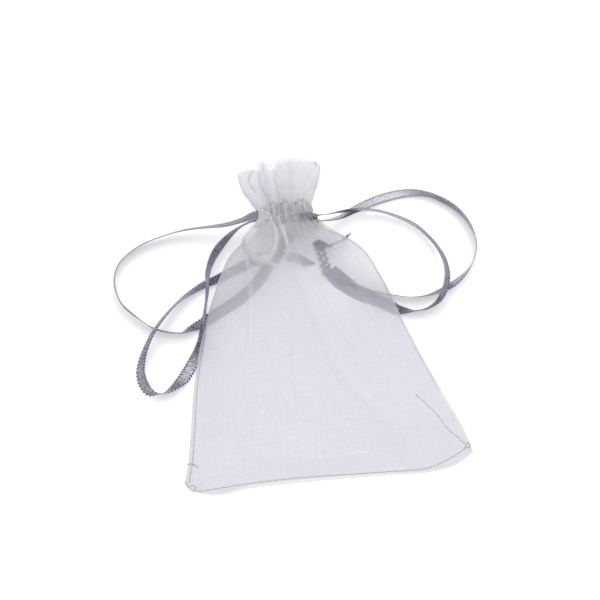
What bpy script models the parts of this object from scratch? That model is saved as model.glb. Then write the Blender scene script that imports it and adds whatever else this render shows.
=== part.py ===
"""Sheer drawstring gift pouch, lying on its back with its neck drawn in by two ribbons.

Frame: z = 0 is the table, +Z up, +Y from the bottom seam to the mouth, +X to the pouch's right.
Lengths below are in millimetres and become metres where a mesh is made.
"""
import math

import bmesh
import bpy
from mathutils import Matrix, Vector

MM = 0.001

# Cloth
CLOTH = 0.3                 # thickness that the thin organza is given
HEM_GAP = 0.3               # between a panel and its turned-down hem in the header
SLOT = 0.9                  # the same gap inside the casing, where the ribbons run
EDGE_GAP = 0.9              # between the front and the back panel along a seam
THREAD = 0.3                # diameter of a row of stitching

# Places along the pouch
SIDE_FOOT = -43.2           # y where a side edge ends at the bottom corner
BOTTOM_BOW = 3.0            # how far the bottom edge bows below that
HEADER_TOP = 46.2           # y of the header's folded top
CASING_LOW = 24.4           # y of the casing's lower row of stitching
CASING_HIGH = 30.6          # y of its upper row
CASING_FADE = 2.2           # length over which the open sides close again
HEM_FOOT = 23.4             # y where the hem's raw edge ends

# Stations along y: half-width, height of the side edge, top of the front, underside of the back
STATIONS = (
    (-46.2, 33.6, 0.95, 2.0, 0.30),
    (-40.0, 34.0, 1.10, 3.8, 0.00),
    (-27.0, 31.2, 1.25, 6.0, 0.00),
    (-14.0, 28.2, 1.50, 7.2, 0.00),
    (-5.0, 25.6, 2.20, 7.7, 0.95),
    (5.0, 22.6, 3.10, 8.2, 1.90),
    (12.0, 19.9, 4.00, 8.8, 2.90),
    (18.0, 16.2, 4.90, 9.3, 3.05),
    (22.0, 11.0, 5.30, 9.4, 2.80),
    (25.0, 7.8, 5.50, 9.2, 2.30),
    (30.0, 7.5, 5.40, 9.0, 2.20),
    (37.0, 9.3, 4.90, 8.8, 1.20),
    (42.0, 10.4, 4.50, 8.5, 0.20),
    (46.2, 10.8, 4.30, 8.2, 0.00),
)

# Ribbon
RIBBON_WIDTH = 3.0
RIBBON_THICK = 0.2
RUN_WIDTH = 2.4             # a ribbon curls a little narrower inside the casing
RUN_LEFT_Y = 28.95          # where the left drawstring runs in the casing
RUN_RIGHT_Y = 26.05         # where the right one runs beside it
RUN_REACH = 0.5             # how far a run stands out of the casing
BIGHT_REACH = 1.4           # how far its turn at the far side stands out
STEP = 2.0                  # distance between the points of a strand

# Routes of the four free strands: x, y, height of the lower edge over the table, twist in degrees.
# Twist 0 and 180 lie flat, 90 stands on edge.
STRAND_A = (
    (-8.3, 28.9, 6.5, 10), (-11.5, 28.4, 5.4, 25), (-15.8, 28.5, 4.0, 32), (-20.5, 29.2, 2.8, 40),
    (-26.0, 29.8, 1.8, 45), (-31.7, 29.4, 1.0, 50), (-38.2, 27.7, 0.4, 56), (-42.9, 24.7, 0.1, 62),
    (-45.2, 21.6, 0.1, 72), (-46.2, 17.7, 0.1, 84), (-45.9, 13.4, 0.1, 94), (-44.7, 9.8, 0.1, 103),
    (-42.1, 6.4, 0.1, 108), (-39.4, 3.5, 0.1, 116), (-36.8, 1.6, 0.1, 126), (-33.6, 0.2, 0.1, 126),
    (-30.4, -0.3, 0.1, 128), (-27.9, 0.9, 0.1, 155), (-25.4, 2.2, 0.1, 176), (-22.3, 3.9, 0.1, 184),
    (-18.5, 6.0, 0.1, 190), (-14.9, 8.1, 0.1, 190), (-11.5, 10.9, 0.1, 188), (-8.5, 14.0, 0.4, 182),
    (-6.2, 17.0, 1.0, 180),
)
STRAND_B = (
    (-8.3, 28.9, 3.6, 0), (-11.0, 28.2, 3.2, 18), (-13.9, 26.9, 2.7, 30), (-16.6, 24.8, 2.4, 33),
    (-19.0, 22.1, 2.3, 38), (-20.7, 19.0, 2.3, 48), (-21.9, 15.8, 2.4, 56), (-22.6, 12.3, 2.4, 60),
    (-23.2, 8.6, 1.8, 52), (-24.1, 5.2, 1.2, 28), (-25.0, 1.6, 0.9, 8), (-26.0, -2.6, 0.3, 4),
    (-27.4, -6.2, 0.1, 16), (-29.4, -9.6, 0.1, 28), (-31.5, -12.7, 0.1, 40), (-33.7, -15.0, 0.1, 48),
    (-36.1, -16.7, 0.1, 56), (-38.6, -16.9, 0.1, 62), (-40.6, -15.4, 0.1, 64), (-41.7, -12.9, 0.1, 62),
    (-42.0, -10.0, 0.2, 66), (-41.2, -6.9, 0.9, 80), (-39.6, -3.8, 2.2, 110), (-37.4, -0.5, 3.1, 132),
    (-34.4, 3.9, 2.2, 128), (-30.9, 8.2, 0.9, 128), (-27.2, 11.4, 0.1, 136), (-23.4, 13.5, 0.1, 146),
    (-19.6, 15.0, 0.1, 162), (-15.4, 16.9, 0.1, 172), (-11.5, 18.4, 0.5, 180), (-7.5, 19.8, 1.0, 180),
)
STRAND_C = (
    (8.2, 26.1, 6.4, 165), (11.0, 27.0, 4.9, 140), (14.0, 28.3, 3.3, 118), (17.0, 29.1, 2.2, 112),
    (20.4, 29.4, 1.4, 112), (24.9, 28.8, 0.6, 112), (29.3, 26.6, 0.2, 108), (33.5, 23.2, 0.1, 102),
    (36.6, 18.3, 0.3, 98), (38.2, 13.0, 1.1, 86), (38.5, 8.0, 2.2, 70), (37.6, 3.0, 2.6, 56),
    (35.2, -1.0, 1.6, 46), (31.9, -2.6, 0.5, 48), (28.6, -2.7, 0.1, 50), (26.2, -2.1, 0.1, 30),
    (24.0, -1.1, 0.1, 8), (21.6, 0.1, 0.1, -6), (18.4, 1.9, 0.1, -16), (15.3, 3.8, 0.1, -16),
    (12.6, 6.4, 0.1, -10), (10.8, 9.2, 0.2, -4), (9.6, 12.1, 0.5, 0),
)
STRAND_D = (
    (8.2, 26.1, 3.8, 176), (11.0, 26.6, 2.9, 150), (14.2, 27.8, 1.9, 136), (17.8, 30.0, 1.2, 156),
    (21.6, 32.0, 0.7, 172), (25.8, 33.6, 0.4, 178), (30.8, 34.6, 0.2, 172), (35.6, 34.4, 0.1, 164),
    (40.0, 32.6, 0.1, 156), (44.0, 29.2, 0.1, 140), (46.8, 24.8, 0.1, 124), (48.2, 19.8, 0.1, 112),
    (48.2, 14.8, 0.1, 100), (46.3, 10.0, 0.1, 84), (43.0, 6.2, 0.1, 64), (39.6, 3.9, 0.1, 44),
    (36.2, 2.4, 0.1, 42), (32.4, 1.4, 0.1, 52), (28.0, 1.8, 0.1, 56), (24.4, 3.6, 0.1, 44),
    (21.6, 5.4, 0.1, 16), (18.4, 7.2, 0.1, -6), (14.9, 9.5, 0.4, -8), (12.5, 11.3, 0.9, -2),
    (10.9, 12.7, 1.3, 0),
)

# Knots: centre on the table plane, height of the centre, half-sizes
LEFT_KNOT = (-4.0, 19.8)
RIGHT_KNOT = (8.8, 15.0)
KNOT_HEIGHT = 1.25
KNOT_HALF = (2.5, 2.0, 1.1)

# Tails beyond a knot, in the same terms as the strands
TAILS = {
    "left_tail_a": ((-2.3, 22.0, 0.9, 0), (-1.0, 23.8, 0.5, 10), (0.6, 25.6, 0.2, 20), (1.6, 28.0, 0.2, 25)),
    "left_tail_b": ((-1.1, 18.8, 0.9, 0), (0.8, 18.2, 0.5, -10), (2.6, 17.2, 0.2, -15), (4.2, 15.6, 0.2, -10)),
    "right_tail_c": ((7.9, 17.4, 1.0, 0), (7.4, 19.0, 0.6, 10), (7.6, 20.8, 0.3, 15), (8.6, 22.4, 0.2, 20)),
    "right_tail_d": ((11.1, 17.2, 0.9, 0), (12.4, 19.0, 0.5, 0), (13.8, 21.0, 0.3, 20), (15.0, 23.4, 0.3, 35)),
}

ORGANZA = ("organza", (0.78, 0.78, 0.82), 0.45)
STITCHING = ("stitching", (0.42, 0.39, 0.38), 0.7)
SATIN = ("satin", (0.24, 0.24, 0.31), 0.35)


def clear_scene():
    """Remove whatever the file holds."""
    for item in list(bpy.data.objects):
        bpy.data.objects.remove(item, do_unlink=True)


def finish(name, look):
    """Make a node's own material from a look: its kind, colour and roughness."""
    kind, colour, roughness = look
    material = bpy.data.materials.new(f"{name}_{kind}")
    material.use_nodes = True
    shader = material.node_tree.nodes["Principled BSDF"]
    shader.inputs["Base Color"].default_value = (*colour, 1.0)
    shader.inputs["Roughness"].default_value = roughness
    shader.inputs["Metallic"].default_value = 0.0
    return material


def place(name, data, look, collection):
    """Link a mesh or curve as a named object with its own material."""
    item = bpy.data.objects.new(name, data)
    data.materials.append(finish(name, look))
    collection.objects.link(item)
    return item


def catmull(values, t):
    """Read a smooth curve through evenly numbered values at t."""
    last = len(values) - 1
    i = min(int(t), last - 1)
    f = t - i
    a, b, c, d = (values[max(0, min(last, i + k))] for k in (-1, 0, 1, 2))
    return tuple(
        0.5 * (2 * q + (r - p) * f + (2 * p - 5 * q + 4 * r - s) * f ** 2 + (3 * q - p - 3 * r + s) * f ** 3)
        for p, q, r, s in zip(a, b, c, d)
    )


def station(y):
    """Half-width, edge height, top and underside of the pouch at y."""
    y = max(STATIONS[0][0], min(STATIONS[-1][0], y))
    i = next(k for k in range(len(STATIONS) - 1) if y <= STATIONS[k + 1][0])
    low, high = STATIONS[i], STATIONS[i + 1]
    f = (y - low[0]) / (high[0] - low[0])
    before, after = STATIONS[max(i - 1, 0)], STATIONS[min(i + 2, len(STATIONS) - 1)]
    span = high[0] - low[0]
    values = []
    for k in range(1, 5):
        rise_low = (high[k] - before[k]) / (high[0] - before[0]) * span
        rise_high = (after[k] - low[k]) / (after[0] - low[0]) * span
        h00, h10 = 2 * f ** 3 - 3 * f ** 2 + 1, f ** 3 - 2 * f ** 2 + f
        h01, h11 = 3 * f ** 2 - 2 * f ** 3, f ** 3 - f ** 2
        values.append(h00 * low[k] + h10 * rise_low + h01 * high[k] + h11 * rise_high)
    return values


def smoothstep(x):
    """0 below 0, 1 above 1, smooth between."""
    x = max(0.0, min(1.0, x))
    return x * x * (3 - 2 * x)


def casing_share(y):
    """1 inside the casing, fading to 0 beyond its two rows of stitching."""
    middle = (CASING_LOW + CASING_HIGH) / 2
    half = (CASING_HIGH - CASING_LOW) / 2
    return 1 - smoothstep((abs(y - middle) - half) / CASING_FADE)


def edge_half_gap(y):
    """Half the distance between the panels' inner faces at the side edge: wide where the casing is open."""
    return EDGE_GAP / 2 + 1.35 * casing_share(y)


def front_inner(a, y):
    """Height of the front panel's inner face at a, from -1 at the left edge to 1 at the right."""
    _, edge, top, _ = station(y)
    low = edge + edge_half_gap(y)
    return low + (top - CLOTH - low) * (1 - abs(a) ** 2.2)


def back_inner(a, y):
    """Height of the back panel's inner face at a; its middle is flat where it lies on the table."""
    _, edge, _, under = station(y)
    high = edge - edge_half_gap(y)
    under = max(0.0, under) if y > -12 else 0.0
    return high + (under + CLOTH - high) * min(1.0, 1.25 * (1 - a ** 4))


def bottom_edge(x):
    """y of the bottom edge at x: it bows down between the corners."""
    return SIDE_FOOT - BOTTOM_BOW * (1 - (x / 34.0) ** 2)


def sheet(name, height, thick_side, rows, columns, reach, foot, look, collection):
    """Make one layer of cloth: a grid shaped by height(a, y), with thickness on one side.

    reach is the share of the half-width that it covers, foot gives the y of its lower edge at x,
    and thick_side is 1 to thicken upwards or -1 downwards.
    """
    shape = bmesh.new()
    bmesh.ops.create_grid(shape, x_segments=columns, y_segments=rows, size=1.0)
    for vertex in shape.verts:
        a = vertex.co.x * reach
        v = (vertex.co.y + 1) / 2
        low = foot(a * 34.0)
        y = low + (HEADER_TOP - low) * v
        half = station(y)[0]
        vertex.co = Vector((half * a, y, height(a, y))) * MM
    mesh = bpy.data.meshes.new(name)
    shape.to_mesh(mesh)
    shape.free()
    item = place(name, mesh, look, collection)
    solidify = item.modifiers.new("cloth", "SOLIDIFY")
    solidify.thickness = CLOTH * MM
    solidify.offset = thick_side
    solidify.use_even_offset = True
    mesh.shade_smooth()
    return item


def hem_gap(y):
    """Gap between a panel and its hem at y."""
    return HEM_GAP + (SLOT - HEM_GAP) * casing_share(y)


def ribbon(name, points, twists, width, look, collection, matrix=None):
    """Make a flat strip along points in millimetres, twisted by degrees at each point."""
    curve = bpy.data.curves.new(name, "CURVE")
    curve.dimensions = "3D"
    curve.twist_mode = "Z_UP"
    curve.bevel_depth = RIBBON_THICK / 2 * MM
    curve.extrude = (width - RIBBON_THICK) / 2 * MM
    curve.bevel_resolution = 2
    curve.use_fill_caps = True
    spline = curve.splines.new("POLY")
    spline.points.add(len(points) - 1)
    for point, place_at, twist in zip(spline.points, points, twists):
        point.co = (*(Vector(place_at) * MM), 1.0)
        point.tilt = math.radians(90 - twist)
    item = place(name, curve, look, collection)
    if matrix is not None:
        item.matrix_world = matrix
    return item


def even_points(route, step):
    """Read a smooth curve through a route at even steps: points x, y, z and twists."""
    dense = [catmull(route, k / 16) for k in range(16 * (len(route) - 1) + 1)]
    raised = []
    for x, y, lower, twist in dense:
        centre = lower + (RIBBON_WIDTH * abs(math.sin(math.radians(twist))) + RIBBON_THICK) / 2
        raised.append((Vector((x, y, centre)), twist))
    lengths = [0.0]
    for (a, _), (b, _) in zip(raised, raised[1:]):
        lengths.append(lengths[-1] + (b - a).length)
    count = max(3, round(lengths[-1] / step))
    points, twists, j = [], [], 0
    for k in range(count + 1):
        target = lengths[-1] * k / count
        while j < len(lengths) - 2 and lengths[j + 1] < target:
            j += 1
        f = (target - lengths[j]) / max(lengths[j + 1] - lengths[j], 1e-9)
        points.append(raised[j][0].lerp(raised[j + 1][0], f))
        twists.append(raised[j][1] + (raised[j + 1][1] - raised[j][1]) * f)
    return points, twists


def strand(name, route, collection):
    """Make a free stretch of ribbon along its route."""
    points, twists = even_points(route, STEP)
    return ribbon(name, points, twists, RIBBON_WIDTH, SATIN, collection)


def casing_run(name, y, side, collection):
    """Make the stretch of ribbon inside the casing: through the front, round the far side, and back.

    side is -1 where the strands leave on the left and 1 on the right. The path is drawn in its own
    plane, with the ribbon's width across the plane, and then stood up at y.
    """
    half = station(y)[0]
    edge = station(y)[1]
    middle = SLOT / 2
    count = 9
    ways = [side * (1 - 2 * k / (count - 1)) for k in range(count)]
    front = [(half * a, front_inner(a, y) - middle) for a in ways]
    back = [(half * a, back_inner(a, y) + middle) for a in reversed(ways)]
    start = (front[0][0] + side * RUN_REACH, front[0][1] - 0.2)
    end = (back[-1][0] + side * RUN_REACH, back[-1][1] + 0.2)
    radius = (front[-1][1] - back[0][1]) / 2
    turn = [
        (front[-1][0] - side * BIGHT_REACH * math.cos(angle), edge + radius * math.sin(angle))
        for angle in (math.radians(d) for d in (50, 20, -20, -50))
    ]
    path = [start] + front + turn + back + [end]
    points = [Vector((x, z, 0.0)) for x, z in path]
    stand_up = Matrix(((1, 0, 0, 0), (0, 0, -1, y * MM), (0, 1, 0, 0), (0, 0, 0, 1)))
    return ribbon(name, points, [90.0] * len(points), RUN_WIDTH, SATIN, collection, stand_up)


def knot(name, centre, turn, collection):
    """Make a plain overhand knot's lump."""
    shape = bmesh.new()
    bmesh.ops.create_uvsphere(shape, u_segments=16, v_segments=10, radius=1.0)
    size = Matrix.Diagonal((*KNOT_HALF, 1.0))
    where = Matrix.Translation((*centre, KNOT_HEIGHT)) @ Matrix.Rotation(math.radians(turn), 4, "Z")
    bmesh.ops.transform(shape, matrix=Matrix.Scale(MM, 4) @ where @ size, verts=shape.verts)
    mesh = bpy.data.meshes.new(name)
    shape.to_mesh(mesh)
    shape.free()
    mesh.shade_smooth()
    return place(name, mesh, SATIN, collection)


def thread(name, points, collection):
    """Make a row of stitching as a thin round line through points in millimetres."""
    curve = bpy.data.curves.new(name, "CURVE")
    curve.dimensions = "3D"
    curve.bevel_depth = THREAD / 2 * MM
    curve.bevel_resolution = 1
    curve.use_fill_caps = True
    spline = curve.splines.new("POLY")
    spline.points.add(len(points) - 1)
    for point, place_at in zip(spline.points, points):
        point.co = (*(Vector(place_at) * MM), 1.0)
    return place(name, curve, STITCHING, collection)


def side_thread(name, side, low, high, count, collection):
    """Make the stitching of a side seam, between the panels just inside their edges."""
    ys = [low + (high - low) * k / (count - 1) for k in range(count)]
    return thread(name, [(side * 0.985 * station(y)[0], y, station(y)[1]) for y in ys], collection)


def casing_thread(name, y, height, inward, collection):
    """Make a row of stitching across the casing, in the gap between a panel and its hem."""
    half = station(y)[0] * 0.84
    steps = 8
    across = [half * (2 * k / steps - 1) for k in range(steps + 1)]
    middle = inward * hem_gap(y) / 2
    return thread(name, [(x, y, height(x / station(y)[0], y) + middle) for x in across], collection)


def build_cloth(collection):
    """Make the two panels and their turned-down hems."""
    sheet("front_panel", front_inner, 1, 24, 16, 1.0, bottom_edge, ORGANZA, collection)
    sheet("back_panel", back_inner, -1, 24, 16, 1.0, bottom_edge, ORGANZA, collection)

    def front_hem_top(a, y):
        return front_inner(a, y) - hem_gap(y)

    def back_hem_top(a, y):
        return back_inner(a, y) + hem_gap(y)

    def hem_foot(_):
        return HEM_FOOT

    sheet("front_hem", front_hem_top, -1, 10, 10, 0.84, hem_foot, ORGANZA, collection)
    sheet("back_hem", back_hem_top, 1, 10, 10, 0.84, hem_foot, ORGANZA, collection)


def build_seams(collection):
    """Make the seams down both sides and along the bottom, and the casing's four rows."""
    for side, word in ((-1, "left"), (1, "right")):
        side_thread(f"{word}_side_seam", side, SIDE_FOOT + 1.2, CASING_LOW - CASING_FADE, 14, collection)
        side_thread(f"{word}_header_seam", side, CASING_HIGH + CASING_FADE, HEADER_TOP - 0.6, 5, collection)
    reach, steps = 32.6, 12
    across = [reach * (2 * k / steps - 1) for k in range(steps + 1)]
    path = [(x, bottom_edge(x) + 0.6, station(bottom_edge(x))[1] + 0.1) for x in across]
    thread("bottom_seam", path, collection)
    for y, word in ((CASING_HIGH, "upper"), (CASING_LOW, "lower")):
        casing_thread(f"front_{word}_casing_stitch", y, front_inner, -1, collection)
        casing_thread(f"back_{word}_casing_stitch", y, back_inner, 1, collection)


def build_drawstrings(collection):
    """Make both ribbons: the run in the casing, two strands, the knot and two tails."""
    casing_run("left_ribbon_run", RUN_LEFT_Y, -1, collection)
    casing_run("right_ribbon_run", RUN_RIGHT_Y, 1, collection)
    strand("left_strand_a", STRAND_A, collection)
    strand("left_strand_b", STRAND_B, collection)
    strand("right_strand_c", STRAND_C, collection)
    strand("right_strand_d", STRAND_D, collection)
    knot("left_knot", LEFT_KNOT, 20, collection)
    knot("right_knot", RIGHT_KNOT, 60, collection)
    for name, route in TAILS.items():
        strand(name, route, collection)


def main():
    """Build the whole pouch."""
    clear_scene()
    collection = bpy.data.collections.new("drawstring_gift_pouch")
    bpy.context.scene.collection.children.link(collection)
    build_cloth(collection)
    build_seams(collection)
    build_drawstrings(collection)


main()
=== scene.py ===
"""Looks of a sheer drawstring gift pouch lying on its back, its neck drawn in by two satin ribbons.

All sizes in the classes are in millimetres and become metres where a mesh is made. The frame is the
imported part's: z = 0 is the table, +Z up, +Y from the bottom seam to the mouth, +X to the right.
"""

import logging
import math
from dataclasses import dataclass, field
from enum import Enum, IntEnum
from typing import Any, Callable, Sequence

import bmesh
import bpy
import numpy as np
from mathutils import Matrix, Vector, noise


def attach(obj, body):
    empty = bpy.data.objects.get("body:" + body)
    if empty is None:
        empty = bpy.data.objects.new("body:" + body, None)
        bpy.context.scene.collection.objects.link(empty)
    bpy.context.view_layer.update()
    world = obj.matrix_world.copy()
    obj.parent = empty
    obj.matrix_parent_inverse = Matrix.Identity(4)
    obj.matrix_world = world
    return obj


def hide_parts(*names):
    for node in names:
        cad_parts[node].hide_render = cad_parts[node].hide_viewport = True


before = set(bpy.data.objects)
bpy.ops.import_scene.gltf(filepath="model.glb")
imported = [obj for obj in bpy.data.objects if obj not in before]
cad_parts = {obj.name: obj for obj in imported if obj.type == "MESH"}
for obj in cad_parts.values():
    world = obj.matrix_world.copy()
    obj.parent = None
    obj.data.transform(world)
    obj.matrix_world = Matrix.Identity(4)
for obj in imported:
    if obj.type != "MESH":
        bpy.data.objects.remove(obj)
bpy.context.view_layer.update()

LOG = logging.getLogger("pouch")
MM = 0.001
Point = tuple[float, float, float]
Stop = tuple[float, float, float, float]


# ---------------------------------------------------------------- shader graph


class Signal:
    """A number or a colour on its way through a material's nodes."""

    def __init__(self, graph: "Graph", socket: bpy.types.NodeSocket) -> None:
        """Wrap one output socket of a graph."""
        self.graph = graph
        self.socket = socket

    def _math(self, operation: str, first: Any, second: Any = 0.0) -> "Signal":
        """Add a Math node that works on two values."""
        return self.graph.node("ShaderNodeMath", {"operation": operation}, {0: first, 1: second})

    def __add__(self, other: Any) -> "Signal":
        """Add two values."""
        return self._math("ADD", self, other)

    __radd__ = __add__

    def __sub__(self, other: Any) -> "Signal":
        """Take other from this value."""
        return self._math("SUBTRACT", self, other)

    def __rsub__(self, other: Any) -> "Signal":
        """Take this value from other."""
        return self._math("SUBTRACT", other, self)

    def __mul__(self, other: Any) -> "Signal":
        """Multiply two values."""
        return self._math("MULTIPLY", self, other)

    __rmul__ = __mul__

    def __truediv__(self, other: Any) -> "Signal":
        """Divide this value by other."""
        return self._math("DIVIDE", self, other)

    def wave(self) -> "Signal":
        """The sine of this value."""
        return self._math("SINE", self)

    def size(self) -> "Signal":
        """This value without its sign."""
        return self._math("ABSOLUTE", self)

    def above(self, level: float) -> "Signal":
        """1 where this value is over a level, and 0 elsewhere."""
        return self._math("GREATER_THAN", self, level)

    def clamped(self) -> "Signal":
        """This value held between 0 and 1."""
        return self.graph.node("ShaderNodeClamp", {}, {0: self})


class Graph:
    """The node tree of one new material."""

    def __init__(self, name: str) -> None:
        """Make a material with nothing but its output.

        Args:
            name: the material's name.
        """
        self.material = bpy.data.materials.new(name)
        self.material.use_nodes = True
        self.tree = self.material.node_tree
        self.tree.nodes.clear()
        self.output = self.tree.nodes.new("ShaderNodeOutputMaterial")

    def node(
        self,
        kind: str,
        settings: dict[str, Any] | None = None,
        sockets: dict[Any, Any] | None = None,
        output: int | str = 0,
    ) -> Signal:
        """Add a node.

        Args:
            kind: the node's type.
            settings: its settings, set before its sockets.
            sockets: a value or a Signal for each input, by name or number.
            output: which output to hand on.

        Returns:
            The output as a Signal.
        """
        made = self.tree.nodes.new(kind)
        for key, value in (settings or {}).items():
            setattr(made, key, value)
        for key, value in (sockets or {}).items():
            if isinstance(value, Signal):
                self.tree.links.new(value.socket, made.inputs[key])
            else:
                made.inputs[key].default_value = value
        return Signal(self, made.outputs[output])

    def mix(self, share: Any, first: Any, second: Any) -> Signal:
        """Mix two colours by a share from 0, the first, to 1, the second."""
        return self.node("ShaderNodeMix", {"data_type": "RGBA"}, {0: share, 6: first, 7: second}, 2)

    def split(self, vector: Signal) -> tuple[Signal, Signal]:
        """The x and y of a vector."""
        parts = self.node("ShaderNodeSeparateXYZ", {}, {0: vector})
        return parts, Signal(self, parts.socket.node.outputs[1])

    def cloth_place(self) -> Signal:
        """The place on the flat cloth, from the UV map, in metres."""
        return self.node("ShaderNodeUVMap", {"uv_map": "flat"})

    def stretched(self, vector: Signal, scale: Point) -> Signal:
        """A vector with each part scaled."""
        return self.node("ShaderNodeVectorMath", {"operation": "MULTIPLY"}, {0: vector, 1: scale})

    def attribute(self, name: str) -> Signal:
        """A number stored on the mesh."""
        return self.node("ShaderNodeAttribute", {"attribute_name": name}, {}, "Fac")

    def finish(self, surface: Signal) -> bpy.types.Material:
        """Send a shader to the output and return the material."""
        self.tree.links.new(surface.socket, self.output.inputs["Surface"])
        return self.material


# ---------------------------------------------------------------- finishes


@dataclass(frozen=True)
class Organza:
    """Sheer plain-woven cloth of bright filament threads."""

    tint: Stop = (0.750, 0.756, 0.806, 1.0)
    # the colour that the painted light lightens the cloth towards
    bright: Stop = (0.98, 0.98, 0.99, 1.0)
    # millimetres between threads, and threads between two bands of glints
    thread_pitch: float = 0.55
    glint_band: float = 9.0
    # repeats to the metre of thick and thin places along and across a thread, and of slow changes
    slub_along: float = 90.0
    slub_across: float = 3500.0
    drift_scale: float = 70.0
    # how much of the surface is thread, and what adds to it
    cover: float = 0.45
    weave_cover: float = 0.07
    uneven_cover: float = 0.10
    gathered_cover: float = 0.40
    rim_cover: float = 0.40
    # painted light: what adds to the bright colour, standing in for glints, lit fold rims and light among the
    # gathers and at the neck
    painted_glint_light: float = 0.4
    painted_rim_light: float = 0.9
    painted_gather_light: float = 0.55
    glint_share: float = 0.06
    pass_through: float = 0.45

    @property
    def turn(self) -> float:
        """Radians of the weave's wave to the metre."""
        return 2 * math.pi / (self.thread_pitch * MM)

    def slubs(self, graph: Graph, place: Signal) -> Signal:
        """Add the thick and thin places of the threads, both ways of the cloth.

        Args:
            graph: the material's nodes.
            place: the place on the flat cloth.

        Returns:
            Below 0 where the threads are thin and above 0 where they are thick.
        """
        along, across = (
            graph.node("ShaderNodeTexNoise", {}, {"Vector": graph.stretched(place, run), "Scale": 1.0})
            for run in ((self.slub_across, self.slub_along, 1), (self.slub_along, self.slub_across, 1))
        )
        return along + across - 1.0

    def glints(self, graph: Graph, place: Signal, slant: Signal) -> Signal:
        """Pick scattered thread crossings, in slanting bands, that are painted lighter as painted glints and
        made smoother.

        Args:
            graph: the material's nodes.
            place: the place on the flat cloth.
            slant: the place along the cloth's diagonal.

        Returns:
            1 on a glint and 0 elsewhere.
        """
        threads_to_metre = 1 / (self.thread_pitch * MM)
        cell = graph.node("ShaderNodeTexWhiteNoise", {"noise_dimensions": "2D"}, {
            "Vector": graph.node("ShaderNodeVectorMath", {"operation": "FLOOR"}, {
                0: graph.stretched(place, (threads_to_metre, threads_to_metre, 0)),
            }),
        })
        return cell.above(1 - self.glint_share) * (slant * (self.turn / self.glint_band)).wave().above(0.1)

    def material(self, name: str) -> bpy.types.Material:
        """Make the cloth's material; its threads follow the flat cloth.

        Args:
            name: the material's name.

        Returns:
            The material, clear between the threads.
        """
        graph = Graph(name)
        place = graph.cloth_place()
        u, v = graph.split(place)
        weave = ((u + v) * self.turn).wave() + ((u - v) * self.turn).wave()
        slub = self.slubs(graph, place)
        drift = graph.node("ShaderNodeTexNoise", {}, {
            "Vector": place, "Scale": self.drift_scale, "Detail": 3.0,
        })
        gather_and_painted_light, rim, light = (graph.attribute(key) for key in ("gather_and_painted_light", "rim", "light"))
        cover = self.cover + weave * self.weave_cover + (slub + drift - 0.5) * self.uneven_cover
        cover = (cover + gather_and_painted_light * self.gathered_cover + rim * self.rim_cover).clamped()
        glint = self.glints(graph, place, u + v)
        # Painted light: glints, turned rims, gathers and the neck paint the colour lighter, standing in for
        # highlights and for light among the layers; gathers and rims also raise the cover.
        painted_shine = glint * self.painted_glint_light + rim * self.painted_rim_light + gather_and_painted_light * self.painted_gather_light + light
        colour = graph.mix(painted_shine.clamped(), self.tint, self.bright)
        lit = graph.node("ShaderNodeBsdfPrincipled", {}, {
            "Base Color": colour,
            "Roughness": 0.5 - glint * 0.25,
            "Normal": graph.node("ShaderNodeBump", {}, {
                "Strength": 0.25, "Distance": 0.00003, "Height": weave + slub,
            }),
            "Specular IOR Level": 0.4,
            "Sheen Weight": 0.25,
            "Sheen Roughness": 0.4,
        })
        through = graph.node("ShaderNodeBsdfTranslucent", {}, {"Color": colour})
        cloth = graph.node("ShaderNodeMixShader", {}, {0: self.pass_through, 1: lit, 2: through})
        clear = graph.node("ShaderNodeBsdfTransparent", {}, {})
        return graph.finish(graph.node("ShaderNodeMixShader", {}, {0: cover, 1: clear, 2: cloth}))


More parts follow.
